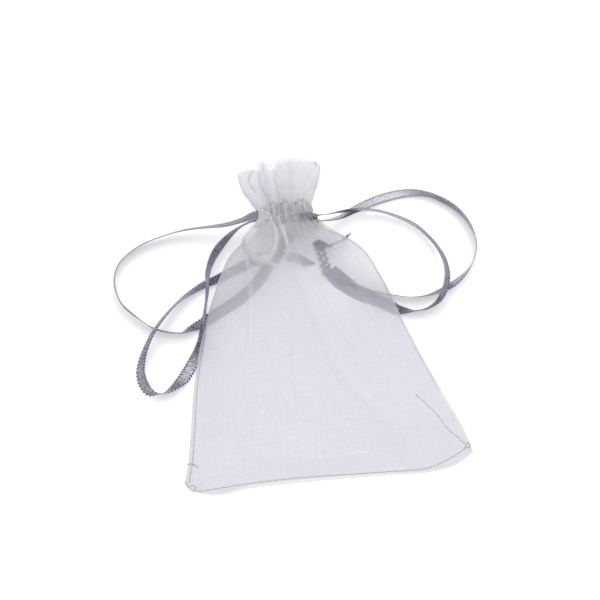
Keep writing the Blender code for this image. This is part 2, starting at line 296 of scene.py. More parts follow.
@dataclass(frozen=True)
class Satin:
    """Narrow woven satin ribbon with a fine twill, bright specks and dotted edges, and a painted highlight
    along the stretches marked lit.
    """

    dark: Stop = (0.030, 0.029, 0.062, 1.0)
    light: Stop = (0.56, 0.57, 0.74, 1.0)
    # the painted highlight's colour, where a face is marked lit
    bright: Stop = (0.86, 0.87, 0.94, 1.0)
    # millimetres: the ribbon's width and the pitch of its edge dots and of its twill
    width: float = 3.0
    tooth: float = 0.84
    twill: float = 0.60
    twill_slope: float = 0.9
    # share of the half width where the dotted edge begins
    edge_from: float = 0.68
    # repeats to the metre of the specks, and of slow changes
    specks: Point = (1900, 1500, 1)
    slow_scale: float = 260.0
    # how much each part adds to the light colour, from this start
    start: float = -0.04
    twill_share: float = 0.60
    speck_share: float = 2.6
    slow_share: float = 0.2
    edge_start: float = -0.22
    dot_share: float = 0.9
    # the same for the painted highlight, where a face is marked as catching the light
    lit_start: float = 0.68
    lit_twill: float = 0.4
    lit_speck: float = 2.4
    metal: float = 0.35

    def material(self, name: str) -> bpy.types.Material:
        """Make the ribbon's material; u runs across it and v along it, in metres.

        Args:
            name: the material's name.

        Returns:
            The material, which paints a highlight where the mesh's lit mark says a face catches the light.
        """
        graph = Graph(name)
        place = graph.cloth_place()
        u, v = graph.split(place)
        across = (u / (self.width * MM * 0.5)).size()
        lines = ((v + u * self.twill_slope) * (2 * math.pi / (self.twill * MM))).wave() * 0.5 + 0.5
        dots = ((v * (2 * math.pi / (self.tooth * MM))).wave() * 1.2 + 0.5).clamped()
        edge = across.above(self.edge_from)
        speck = graph.node("ShaderNodeTexNoise", {}, {
            "Vector": graph.stretched(place, self.specks), "Scale": 1.0, "Detail": 3.0, "Roughness": 0.7,
        })
        slow = graph.node("ShaderNodeTexNoise", {}, {
            "Vector": place, "Scale": self.slow_scale, "Detail": 2.0,
        })
        woven = lines * self.twill_share + (speck - 0.5) * self.speck_share
        woven = woven + (slow - 0.5) * self.slow_share + self.start
        share = woven * (1 - edge) + (dots * self.dot_share + self.edge_start) * edge
        plain = graph.mix(share.clamped(), self.dark, self.light)
        # Painted highlight: faces marked lit in the mesh are painted towards the bright colour, speckled and
        # broken at the dotted edges.
        painted_gleam = (lines - 0.5) * self.lit_twill + (speck - 0.5) * self.lit_speck + self.lit_start
        painted_gleam = graph.attribute("lit") * painted_gleam * (1 - edge * (1 - dots))
        return graph.finish(graph.node("ShaderNodeBsdfPrincipled", {}, {
            "Base Color": graph.mix(painted_gleam.clamped(), plain, self.bright),
            "Roughness": 0.38,
            "Normal": graph.node("ShaderNodeBump", {}, {
                "Strength": 0.3, "Distance": 0.00004, "Height": lines * 0.5 + speck + dots * edge,
            }),
            "Metallic": self.metal,
            "Specular IOR Level": 0.6,
            "Sheen Weight": 0.1,
            "Sheen Roughness": 0.35,
        }))


@dataclass(frozen=True)
class SewingThread:
    """Fine grey-brown polyester thread with a light twist."""

    dark: Stop = (0.20, 0.18, 0.18, 1.0)
    light: Stop = (0.46, 0.42, 0.41, 1.0)

    def material(self, name: str) -> bpy.types.Material:
        """Make the thread's material; its ply shows as fine slanted bands.

        Args:
            name: the material's name.

        Returns:
            The material.
        """
        graph = Graph(name)
        spot = graph.node("ShaderNodeTexCoord", {}, {}, "Object")
        ply = graph.node("ShaderNodeTexWave", {"bands_direction": "DIAGONAL"}, {
            "Vector": spot, "Scale": 2600.0, "Distortion": 2.0,
        }, "Fac")
        fuzz = graph.node("ShaderNodeTexNoise", {}, {"Vector": spot, "Scale": 1800.0})
        colour = graph.mix((ply * 0.5 + fuzz * 0.5).clamped(), self.dark, self.light)
        bump = graph.node("ShaderNodeBump", {}, {"Strength": 0.4, "Distance": 0.00002, "Height": ply})
        return graph.finish(graph.node("ShaderNodeBsdfPrincipled", {}, {
            "Base Color": colour, "Roughness": 0.62, "Normal": bump, "Sheen Weight": 0.2,
        }))


@dataclass(frozen=True)
class PaleTable:
    """Plain matt white surface under the pouch, faintly lit from below."""

    colour: Stop = (0.96, 0.96, 0.96, 1.0)
    glow: float = 0.38

    def material(self, name: str) -> bpy.types.Material:
        """Make the table's material.

        Args:
            name: the material's name.

        Returns:
            The material.
        """
        graph = Graph(name)
        return graph.finish(graph.node("ShaderNodeBsdfPrincipled", {}, {
            "Base Color": self.colour, "Roughness": 0.9, "Specular IOR Level": 0.1,
            "Emission Color": self.colour, "Emission Strength": self.glow,
        }))


# ---------------------------------------------------------------- shaping tools


def smooth_through(stations: Sequence[Sequence[float]], at: np.ndarray) -> np.ndarray:
    """Read smooth curves through stations whose first number is the place.

    Args:
        stations: rows of (place, value, ...), in rising order of place.
        at: the places to read.

    Returns:
        An array with one row for each value and the shape of at.
    """
    rows = np.array(stations, float)
    place, values = rows[:, 0], rows[:, 1:]
    slope = np.gradient(values, place, axis=0)
    at = np.clip(at, place[0], place[-1])
    i = np.clip(np.searchsorted(place, at, side="right") - 1, 0, len(place) - 2)
    span = place[i + 1] - place[i]
    f = (at - place[i]) / span
    h00, h10 = 2 * f**3 - 3 * f**2 + 1, f**3 - 2 * f**2 + f
    h01, h11 = 3 * f**2 - 2 * f**3, f**3 - f**2
    return np.stack([
        h00 * values[i, k] + h10 * span * slope[i, k] + h01 * values[i + 1, k] + h11 * span * slope[i + 1, k]
        for k in range(values.shape[1])
    ])


def ease(x: np.ndarray) -> np.ndarray:
    """0 below 0, 1 above 1 and smooth between."""
    x = np.clip(x, 0, 1)
    return x * x * (3 - 2 * x)


def catmull(rows: np.ndarray, per_span: int = 16) -> np.ndarray:
    """Read a smooth curve through every row of numbers.

    Args:
        rows: the rows to pass through.
        per_span: how many steps lie between two rows.

    Returns:
        The rows of the smooth curve.
    """
    last = len(rows) - 1
    t = np.linspace(0, last, last * per_span + 1)
    i = np.minimum(t.astype(int), last - 1)
    f = (t - i)[:, None]
    a, b = rows[np.maximum(i - 1, 0)], rows[i]
    c, d = rows[np.minimum(i + 1, last)], rows[np.minimum(i + 2, last)]
    return 0.5 * (2 * b + (c - a) * f + (2 * a - 5 * b + 4 * c - d) * f**2 + (3 * b - a - 3 * c + d) * f**3)


def travelled(line: np.ndarray) -> np.ndarray:
    """How far along a line of points each of them is."""
    return np.concatenate([[0], np.cumsum(np.linalg.norm(np.diff(line, axis=0), axis=1))])


def headings(line: np.ndarray) -> np.ndarray:
    """The way ahead at each point of a line, as arrows of length 1."""
    ahead = np.gradient(line, axis=0)
    return ahead / np.linalg.norm(ahead, axis=1)[:, None]


def even_steps(rows: np.ndarray, step: float) -> np.ndarray:
    """Read rows again at even steps along their line.

    Args:
        rows: rows whose first three numbers are a point.
        step: about how far apart the new rows are.

    Returns:
        The new rows.
    """
    far = travelled(rows[:, :3])
    at = np.linspace(0, far[-1], max(3, round(far[-1] / step)) + 1)
    return np.stack([np.interp(at, far, rows[:, k]) for k in range(rows.shape[1])], axis=1)


def rough(points: np.ndarray, wavelength: float, seed: float) -> np.ndarray:
    """Smooth noise between about -1 and 1 at points in millimetres."""
    return np.array([noise.noise(Vector((x / wavelength, y / wavelength, seed))) for x, y in points])


def link(name: str, data: Any) -> bpy.types.Object:
    """Put data in the scene.

    Args:
        name: the new object's name.
        data: a mesh, a curve, a camera or a light.

    Returns:
        The new object.
    """
    item = bpy.data.objects.new(name, data)
    bpy.context.scene.collection.objects.link(item)
    return item


def grid_mesh(
    name: str, points: np.ndarray, flat: np.ndarray, marks: dict[str, np.ndarray] | None = None
) -> bpy.types.Object:
    """Make a sheet from a grid of points.

    Args:
        name: the object's name.
        points: rows x columns x 3, in millimetres.
        flat: rows x columns x 2, each point's place on the flat cloth, in millimetres.
        marks: named numbers to store on the points, each rows x columns.

    Returns:
        The new object, with the UV map "flat" in metres.
    """
    rows, columns = points.shape[:2]
    numbers = np.arange(rows * columns).reshape(rows, columns)
    faces = np.stack([numbers[:-1, :-1], numbers[:-1, 1:], numbers[1:, 1:], numbers[1:, :-1]], axis=-1)
    mesh = bpy.data.meshes.new(name)
    mesh.from_pydata((points.reshape(-1, 3) * MM).tolist(), [], faces.reshape(-1, 4).tolist())
    corner = np.empty(len(mesh.loops), np.int32)
    mesh.loops.foreach_get("vertex_index", corner)
    mesh.uv_layers.new(name="flat").data.foreach_set("uv", (flat.reshape(-1, 2)[corner] * MM).ravel())
    for key, values in (marks or {}).items():
        mark = mesh.attributes.new(key, "FLOAT", "POINT")
        mark.data.foreach_set("value", values.astype(np.float32).ravel())
    mesh.shade_smooth()
    return link(name, mesh)


def threads(name: str, runs: Sequence[np.ndarray], diameter: float) -> bpy.types.Object:
    """Make round threads as one piece.

    Args:
        name: the piece's name.
        runs: the points of each thread, in millimetres.
        diameter: how thick the threads are, in millimetres.

    Returns:
        The new piece.
    """
    curve = bpy.data.curves.new(name, "CURVE")
    curve.dimensions = "3D"
    curve.bevel_depth = diameter / 2 * MM
    curve.bevel_resolution = 2
    curve.use_fill_caps = True
    for run in runs:
        spline = curve.splines.new("POLY")
        spline.points.add(len(run) - 1)
        spline.points.foreach_set("co", np.c_[run * MM, np.ones(len(run))].ravel())
    return link(name, curve)


def dashes(line: np.ndarray, stitch: float, gap: float, dip: float) -> list[np.ndarray]:
    """Cut a line into stitches that dive into the cloth at both ends.

    Args:
        line: points of the whole row, in millimetres.
        stitch: a stitch's length.
        gap: the space between two stitches.
        dip: how far a stitch's ends go down.

    Returns:
        One small run of points for each stitch.
    """
    fine = even_steps(line, 0.2)
    count = max(1, round(len(fine) * 0.2 / (stitch + gap)))
    made = []
    for k in range(count):
        low = k * (len(fine) - 1) / count
        at = np.linspace(low, low + (len(fine) - 1) / count * stitch / (stitch + gap), 6)
        run = np.stack([np.interp(at, np.arange(len(fine)), fine[:, i]) for i in range(3)], axis=1)
        run[:, 2] -= dip * (1 - np.sin(np.linspace(0, math.pi, 6)))
        made.append(run)
    return made


# ---------------------------------------------------------------- studio


@dataclass
class Studio:
    """Camera, lights and the pale table."""

    azimuth: float = -8.58
    elevation: float = 57.83
    distance: float = 359.1
    aim: Point = (-0.05, 3.85, 3.0)
    lens: float = 85.0
    sky: float = 0.50
    key: float = 0.40
    key_place: Point = (120, 362, 460)
    key_size: float = 260
    top: float = 1.1
    top_place: Point = (40, 60, 520)
    top_size: float = 620
    table_reach: float = 1500.0
    table_drop: float = 0.03
    table: PaleTable = field(default_factory=PaleTable)

    def build(self) -> None:
        """Set the camera, the lights and the table."""
        self.camera()
        self.lights()
        self.floor()

    def camera(self) -> None:
        """Place the camera above and in front of the pouch."""
        a, e = math.radians(self.azimuth), math.radians(self.elevation)
        ahead = Vector((-math.sin(a) * math.cos(e), math.cos(a) * math.cos(e), -math.sin(e)))
        data = bpy.data.cameras.new("camera")
        data.lens = self.lens
        data.clip_start = 0.01
        camera = link("camera", data)
        camera.location = (Vector(self.aim) - ahead * self.distance) * MM
        camera.rotation_euler = (math.pi / 2 - e, 0.0, a)
        bpy.context.scene.camera = camera

    def lights(self) -> None:
        """Light the table from all round, with a broad soft light behind on the right."""
        world = bpy.data.worlds.new("sky")
        world.use_nodes = True
        back = world.node_tree.nodes["Background"]
        back.inputs[0].default_value = (1.0, 1.0, 1.0, 1.0)
        back.inputs[1].default_value = self.sky
        bpy.context.scene.world = world
        self.panel("key_light", self.key_place, self.key_size, self.key)
        self.panel("top_light", self.top_place, self.top_size, self.top)
        bpy.context.scene.view_settings.view_transform = "Standard"
        bpy.context.scene.cycles.transparent_max_bounces = 32

    def panel(self, name: str, place: Point, size: float, power: float) -> None:
        """Hang a square light, turned to the pouch.

        Args:
            name: the light's name.
            place: where it hangs, in millimetres.
            size: the length of its side, in millimetres.
            power: its power, in watts.
        """
        data = bpy.data.lights.new(name, "AREA")
        data.size = size * MM
        data.energy = power
        lamp = link(name, data)
        lamp.location = Vector(place) * MM
        lamp.rotation_euler = (-Vector(place)).to_track_quat("-Z", "Y").to_euler()

    def floor(self) -> None:
        """Lay the table just under the pouch."""
        ends = np.linspace(-self.table_reach, self.table_reach, 3)
        x, y = np.meshgrid(ends, ends)
        points = np.stack([x, y, np.full_like(x, -self.table_drop)], axis=-1)
        table = grid_mesh("table", points, points[..., :2])
        table.data.materials.append(self.table.material("pale_table"))


# ---------------------------------------------------------------- ribbons


class Side(Enum):
    """Which side of the neck a drawstring leaves by."""

    LEFT = -1
    RIGHT = 1


@dataclass
class Strip:
    """A flat ribbon's cross-section and how it is swept along a line."""

    width: float = 3.0
    thick: float = 0.18
    tooth: float = 0.84
    tooth_depth: float = 0.20
    cup: float = 0.03
    edge_thinning: float = 0.75
    slant_reach: float = 1.2
    columns: int = 7
    finish: Satin = field(default_factory=Satin)

    def sweep(
        self, name: str, rows: np.ndarray, width: float | None = None, lit: np.ndarray | None = None,
        slant: float = 0.0,
    ) -> bpy.types.Object:
        """Sweep the ribbon along rows of x, y, z and twist in degrees.

        Args:
            name: the piece's name.
            rows: the centreline with its twist, evenly spaced, in millimetres.
            width: the ribbon's width where it is curled narrower.
            lit: how much each row's face is painted as catching the light, a painted highlight, from 0 to 1.
            slant: how far the last end is cut at a slant.

        Returns:
            The closed ribbon.
        """
        line, twist = rows[:, :3], np.radians(rows[:, 3])
        ahead = headings(line)
        left = np.cross([0.0, 0.0, 1.0], ahead)
        left /= np.linalg.norm(left, axis=1)[:, None]
        rise = np.cross(ahead, left)
        wide = np.cos(twist)[:, None] * left + np.sin(twist)[:, None] * rise
        return self.skin(name, line, wide, width or self.width, lit, slant)

    def skin(
        self, name: str, line: np.ndarray, wide: np.ndarray, width: float, lit: np.ndarray | None = None,
        slant: float = 0.0,
    ) -> bpy.types.Object:
        """Make the ribbon's closed skin.

        Args:
            name: the piece's name.
            line: the centreline's points, in millimetres.
            wide: the way across the ribbon at each point.
            width: the ribbon's width.
            lit: how much each row's face is painted as catching the light, a painted highlight, from 0 to 1.
            slant: how far the last end is cut at a slant.

        Returns:
            A closed mesh with the UV map "flat".
        """
        ahead, far = headings(line), travelled(line)
        face = np.cross(ahead, wide)
        across = np.linspace(-1, 1, self.columns)
        ring = [(a, 1) for a in across] + [(a, -1) for a in across[::-1]]
        ring.append(ring[0])
        points = np.empty((len(line), len(ring), 3))
        flat = np.empty((len(line), len(ring), 2))
        cut = slant * np.clip(1 - (far[-1] - far) / self.slant_reach, 0, 1)
        for k, (a, side) in enumerate(ring):
            tooth = self.tooth_depth * np.cos(2 * math.pi * far / self.tooth) * (abs(a) > 0.95)
            out = a * width / 2 + np.sign(a) * tooth
            bulge = side * self.thick / 2 * (1 - self.edge_thinning * a**4) + self.cup * (a * a - 0.4)
            points[:, k] = line + wide * out[:, None] + face * bulge + ahead * (a * cut)[:, None]
            flat[:, k] = np.stack([out * self.width / width, far], axis=1)
        painted_shine = np.zeros(len(line)) if lit is None else lit
        piece = grid_mesh(name, points, flat, {"lit": np.repeat(painted_shine[:, None], len(ring), axis=1)})
        self.close(piece, len(line), len(ring))
        piece.data.materials.append(self.finish.material(f"{name}_satin"))
        return piece

    def close(self, piece: bpy.types.Object, rows: int, columns: int) -> None:
        """Join the sweep's long edges and cap its two ends.

        Args:
            piece: the swept grid.
            rows: how many rows it has.
            columns: how many columns it has, with the first one repeated as the last.
        """
        work = bmesh.new()
        work.from_mesh(piece.data)
        work.verts.ensure_lookup_table()
        ends = [[work.verts[r * columns + k] for k in range(columns - 1)] for r in (0, rows - 1)]
        merge = {work.verts[r * columns + columns - 1]: work.verts[r * columns] for r in range(rows)}
        bmesh.ops.weld_verts(work, targetmap=merge)
        for end in ends:
            work.faces.new(end)
        bmesh.ops.recalc_face_normals(work, faces=work.faces)
        work.to_mesh(piece.data)
        work.free()
        piece.data.shade_smooth()


class Tie(Enum):
    """How a knot's ribbon lies."""

    OVERHAND = "overhand"
    PLAITED = "plaited"


@dataclass(frozen=True)
class Knot:
    """Where a knot lies, how far it is turned in degrees, and how it is tied."""

    centre: tuple[float, float]
    turn: float
    tie: Tie
    width: float
    steps: int = 240

    def rows(self) -> np.ndarray:
        """Work out the knot's line.

        Returns:
            Rows of x, y, z and twist in degrees, open where the curve would meet itself.
        """
        t = np.linspace(0, 2 * math.pi, self.steps)
        if self.tie is Tie.OVERHAND:
            x = (np.sin(t) + 2 * np.sin(2 * t)) * 0.62
            y = (np.cos(t) - 2 * np.cos(2 * t)) * 0.5
            z = 1.25 - np.sin(3 * t) * 0.55
        else:
            x, y = 1.0 * np.sin(7 * t), 4.6 * np.cos(t)
            z = 1.35 + np.sin(8 * t) * 0.40
        turn = math.radians(self.turn)
        return np.stack([
            self.centre[0] + x * math.cos(turn) - y * math.sin(turn),
            self.centre[1] + x * math.sin(turn) + y * math.cos(turn),
            z,
            20 * np.sin(3 * t),
        ], axis=1)[:-2]


@dataclass
class Drawstring:
    """One ribbon's two free strands, its knot and the knot's tails."""

    side: Side
    routes: dict[str, Sequence[Stop]]
    tied: Knot
    strip: Strip = field(default_factory=Strip)
    step: float = 0.18
    clearance: float = 0.1
    tail_slant: float = 0.9

    @property
    def word(self) -> str:
        """The side's name."""
        return self.side.name.lower()

    def lifted(self, route: Sequence[Stop]) -> np.ndarray:
        """Turn a route's lower-edge heights into centre heights.

        Args:
            route: stops of x, y, the lower edge's height and the twist in degrees.

        Returns:
            Even rows of x, y, z and twist.
        """
        rows = catmull(np.array(route, float))
        rows[:, 2] += self.strip.width / 2 * np.abs(np.sin(np.radians(rows[:, 3]))) + self.clearance
        return even_steps(rows, self.step)

    def dress(self, piece: bpy.types.Object, node: str) -> None:
        """Tie a piece to its CAD node and its body.

        Args:
            piece: the piece.
            node: the CAD node it stands for.
        """
        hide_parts(node)
        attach(piece, f"{self.word}_drawstring")
        LOG.info("made %s", piece.name)

    def build(self) -> None:
        """Make the strands, the knot and the tails."""
        ends: list[bpy.types.Object] = [self.knot()]
        strands = []
        for node, route in self.routes.items():
            rows = self.lifted(route)
            stops = np.array(PAINTED_SHINE.get(node, ((0.0, 0.0), (1.0, 0.0))))
            lit = np.interp(np.linspace(0, 1, len(rows)), stops[:, 0], stops[:, 1])
            is_tail = "tail" in node
            slant = self.tail_slant if is_tail else 0.0
            piece = self.strip.sweep(f"ribbon_{node}", rows, lit=lit, slant=slant)
            self.dress(piece, node)
            if is_tail:
                ends.append(piece)
            else:
                strands.append((piece, rows))
        for piece, rows in strands:
            line = rows[:, :3] * MM

    def knot(self) -> bpy.types.Object:
        """Tie the knot of the same ribbon, curled narrower.

        Returns:
            The knot's piece.
        """
        piece = self.strip.sweep(f"{self.word}_overhand_knot", self.tied.rows(), width=self.tied.width)
        self.dress(piece, f"{self.word}_knot")
        return piece


# painted highlight: how much a strand's face is painted as catching the light: share of its length, and the
# painted light there
PAINTED_SHINE: dict[str, Sequence[tuple[float, float]]] = {
    "left_strand_a": (
        (0.0, 0.25), (0.10, 0.25), (0.30, 0.0), (0.72, 0.0), (0.78, 0.2), (1.0, 0.1),
    ),
    "left_strand_b": (
        (0.0, 0.0), (0.37, 0.0), (0.41, 0.6), (0.45, 0.5), (0.48, 0.1), (0.53, 0.2), (0.58, 0.5),
        (0.63, 0.1), (1.0, 0.0),
    ),
    "right_strand_c": (
        (0.0, 0.0), (0.13, 0.0), (0.17, 0.7), (0.33, 0.6), (0.42, 0.15), (0.72, 0.0), (0.8, 0.2),
        (1.0, 0.2),
    ),
    "right_strand_d": (
        (0.0, 0.7), (0.05, 1.0), (0.26, 1.0), (0.34, 0.15), (0.37, 0.0), (0.57, 0.0), (0.61, 0.6),
        (0.67, 0.6), (0.69, 0.0), (1.0, 0.0),
    ),
}

LEFT_ROUTES: dict[str, Sequence[Stop]] = {
    "left_strand_a": (
        (-6.0, 28.9, 6.9, 18), (-8.3, 28.9, 6.5, 20), (-11.5, 28.4, 5.4, 28), (-15.8, 28.5, 4.0, 32),
        (-20.5, 29.2, 2.8, 40), (-26.0, 29.8, 1.8, 45), (-31.7, 29.4, 1.0, 50), (-38.2, 27.7, 0.4, 51),
        (-42.9, 24.7, 0.1, 56), (-45.2, 21.6, 0.1, 66), (-46.2, 17.7, 0.1, 78), (-45.9, 13.4, 0.1, 88),
        (-44.7, 9.8, 0.1, 97), (-42.1, 6.4, 0.1, 103), (-39.4, 3.5, 0.1, 112), (-36.8, 1.6, 0.1, 126),
        (-33.6, 0.2, 0.1, 126), (-30.4, -0.3, 0.1, 128), (-27.9, 0.9, 0.1, 155), (-25.4, 2.2, 0.1, 176),
        (-22.3, 3.9, 0.1, 184), (-18.5, 6.0, 0.1, 190), (-14.9, 8.1, 0.1, 190), (-11.5, 10.9, 0.1, 188),
        (-8.5, 14.0, 0.4, 182), (-6.2, 17.0, 1.0, 180),
    ),
    "left_strand_b": (
        (-6.0, 28.9, 3.9, 20), (-8.3, 28.9, 3.6, 40), (-11.0, 28.2, 3.2, 48), (-13.9, 26.9, 2.7, 42),
        (-16.6, 24.8, 2.4, 30), (-19.0, 22.1, 2.3, 25), (-20.7, 19.0, 2.3, 38), (-21.9, 15.8, 2.4, 52),
        (-22.6, 12.3, 2.4, 67), (-23.2, 8.6, 1.8, 69), (-24.1, 5.2, 1.1, 69), (-25.0, 1.6, 0.7, 60),
        (-26.0, -2.6, 0.2, 46), (-27.4, -6.2, 0.1, 26), (-29.4, -9.6, 0.1, 4), (-31.5, -12.7, 0.1, -2),
        (-33.7, -15.0, 0.1, 26), (-36.1, -16.7, 0.1, 50), (-38.6, -16.9, 0.1, 76),
        (-40.6, -15.4, 0.1, 122), (-41.7, -12.9, 0.1, 136), (-42.0, -10.0, 0.2, 138),
        (-41.2, -6.9, 1.0, 136), (-39.6, -3.8, 2.2, 130), (-37.4, -0.5, 3.1, 128),
        (-34.4, 3.9, 2.2, 128), (-30.9, 8.2, 0.9, 128), (-27.2, 11.4, 0.1, 143), (-23.4, 13.5, 0.1, 158),
        (-19.6, 15.0, 0.1, 168), (-15.4, 16.9, 0.1, 172), (-11.5, 18.4, 0.5, 180),
        (-7.5, 19.8, 1.0, 180),
    ),
    "left_tail_a": (
        (-2.3, 22.0, 0.9, 0), (-1.0, 23.8, 0.3, 0), (0.6, 25.6, 0.1, 0), (1.6, 28.0, 0.1, 0),
    ),
    "left_tail_b": (
        (-1.1, 18.8, 0.9, 0), (0.8, 18.2, 0.5, -10), (2.6, 17.2, 0.2, -15), (4.2, 15.6, 0.2, -10),
    ),
}
RIGHT_ROUTES: dict[str, Sequence[Stop]] = {
    "right_strand_c": (
        (6.0, 25.8, 6.6, 140), (8.2, 26.1, 6.4, 134), (11.0, 27.0, 4.9, 128), (14.0, 28.3, 3.3, 118),
        (17.0, 29.1, 2.2, 112), (20.4, 29.4, 1.4, 112), (24.9, 28.8, 0.6, 112), (29.3, 26.6, 0.2, 108),
        (33.5, 23.2, 0.1, 102), (36.6, 18.3, 0.3, 100), (38.2, 13.0, 1.1, 92), (38.5, 8.0, 2.2, 78),
        (37.6, 3.0, 2.6, 60), (35.2, -1.0, 1.6, 50), (31.9, -2.6, 0.5, 51), (28.6, -2.7, 0.1, 53),
        (26.2, -2.1, 0.1, 26), (24.0, -0.9, 0.1, -2), (21.6, 0.7, 0.1, -24), (18.4, 2.6, 0.1, -38),
        (15.3, 4.5, 0.1, -38), (12.6, 7.1, 0.1, -30), (10.4, 9.8, 0.2, -10), (8.9, 12.6, 0.5, 0),
    ),
    "right_strand_d": (
        (6.0, 25.8, 4.2, 150), (8.2, 26.1, 3.8, 136), (11.0, 26.6, 2.9, 138), (14.2, 27.8, 1.9, 146),
        (17.8, 30.0, 1.2, 158), (21.6, 32.0, 0.7, 170), (25.8, 33.6, 0.4, 175), (30.8, 34.6, 0.2, 174),
        (35.6, 34.4, 0.1, 166), (40.0, 32.6, 0.1, 152), (44.0, 29.2, 0.1, 150), (46.8, 24.8, 0.1, 136),
        (48.2, 19.8, 0.1, 119), (48.2, 14.8, 0.1, 100), (46.3, 10.0, 0.1, 84), (43.0, 6.2, 0.1, 54),
        (39.6, 3.9, 0.1, 36), (36.2, 2.4, 0.1, 42), (32.4, 1.4, 0.1, 52), (28.0, 1.5, 0.1, 57),
        (24.4, 2.6, 0.1, 57), (21.6, 3.7, 0.1, 56), (18.4, 5.1, 0.1, 54), (14.9, 7.5, 0.2, 44),
        (12.5, 9.8, 0.6, 24), (9.6, 12.8, 1.2, 4),
    ),
    "right_tail_c": (
        (6.2, 19.6, 1.0, 60), (7.2, 20.6, 0.8, 80), (8.6, 20.4, 0.6, 100), (9.6, 19.2, 0.5, 70),
    ),
    "right_tail_d": (
        (7.0, 18.6, 0.9, 100), (9.6, 19.6, 0.5, 112), (12.6, 20.8, 0.3, 108), (15.5, 22.0, 0.3, 92),
    ),
}


# ---------------------------------------------------------------- cloth


class Face(IntEnum):
    """A side of the pouch, with the way out of it along z."""

    FRONT = 1
    BACK = -1


class Layer(Enum):
    """Which of the gathered layers a point is on, from the outside in."""

    PANEL = 0
    RIBBON = 1
    HEM = 2


@dataclass(frozen=True)
class Fold:
    """A soft ridge in the front cloth along a curve of (x, y) places."""

    line: Sequence[tuple[float, float]]
    height: float
    width: float
    # how much denser the cloth is along the ridge, and how much it is painted lighter there as a painted
    # highlight
    dense_and_painted_light: float = 0.0

    def share(self, x: np.ndarray, y: np.ndarray) -> np.ndarray:
        """How near places are to the ridge.

        Args:
            x: the places' x.
            y: the places' y.

        Returns:
            1 on the ridge, falling to 0 away from it and at its ends.
        """
        line = catmull(np.array(self.line, float), 5)
        start, step = line[:-1], np.diff(line, axis=0)
        away = np.stack([x, y], axis=-1)[..., None, :] - start
        along = np.clip((away * step).sum(-1) / (step**2).sum(-1), 0, 1)
        gap = np.linalg.norm(away - along[..., None] * step, axis=-1)
        best = gap.argmin(-1)
        reached = (best + np.take_along_axis(along, best[..., None], -1)[..., 0]) / len(step)
        ends = ease(reached / 0.2) * ease((1 - reached) / 0.3)
        return np.exp(-((gap.min(-1) / self.width) ** 2)) * ends


@dataclass(frozen=True)
class Puff:
    """A rounded flap of gathered cloth that stands proud and ends at a turned rim."""

    centre: tuple[float, float]
    radii: tuple[float, float]
    height: float
    rim: float = 0.36

    def reach(self, x: np.ndarray, y: np.ndarray) -> np.ndarray:
        """Signed distance from the rim, negative inside it."""
        u, v = (x - self.centre[0]) / self.radii[0], (y - self.centre[1]) / self.radii[1]
        return (np.hypot(u, v) - 1) * min(self.radii)

    def lift(self, x: np.ndarray, y: np.ndarray) -> np.ndarray:
        """How far the flap stands out of the cloth."""
        return self.height * ease(0.5 - self.reach(x, y) / (2 * self.rim))

    def edge(self, x: np.ndarray, y: np.ndarray) -> np.ndarray:
        """1 on the rim and 0 away from it."""
        return np.exp(-(((self.reach(x, y) + 0.1) / self.rim) ** 2))


@dataclass(frozen=True)
class Lobes:
    """The broad lobes of one side of the header, between valleys across the cloth."""

    valleys: Sequence[float]
    skew: Sequence[float] = (1.0, 1.0, 1.0)
    high: Sequence[float] = (1.0, 1.0, 1.0)

    def shape(self, a: np.ndarray) -> tuple[np.ndarray, np.ndarray]:
        """Work out the lobes.

        Args:
            a: places across the cloth, from -1 to 1.

        Returns:
            How far out each place goes, about 0 to 1, and how far aside, from -1 to 1.
        """
        valleys = np.array(self.valleys)
        k = np.clip(np.searchsorted(valleys, a, side="right") - 1, 0, len(valleys) - 2)
        s = np.clip((a - valleys[k]) / (valleys[k + 1] - valleys[k]), 0, 1)
        out = np.array(self.high)[k] * np.sin(math.pi * s ** np.array(self.skew)[k]) ** 0.6
        return out, -np.sin(2 * math.pi * s)


@dataclass(frozen=True)
class Thin:
    """A round patch where the cloth is more open, by a share for the front and one for the back."""

    centre: tuple[float, float]
    radii: tuple[float, float]
    reach: float
    front: float
    back: float

    def share(self, points: np.ndarray, up: Face) -> np.ndarray:
        """How much more open the cloth is at points of one side."""
        gap = (points[..., :2] - self.centre) / self.radii
        return (self.front if up > 0 else self.back) * ease(self.reach - np.hypot(gap[..., 0], gap[..., 1]))


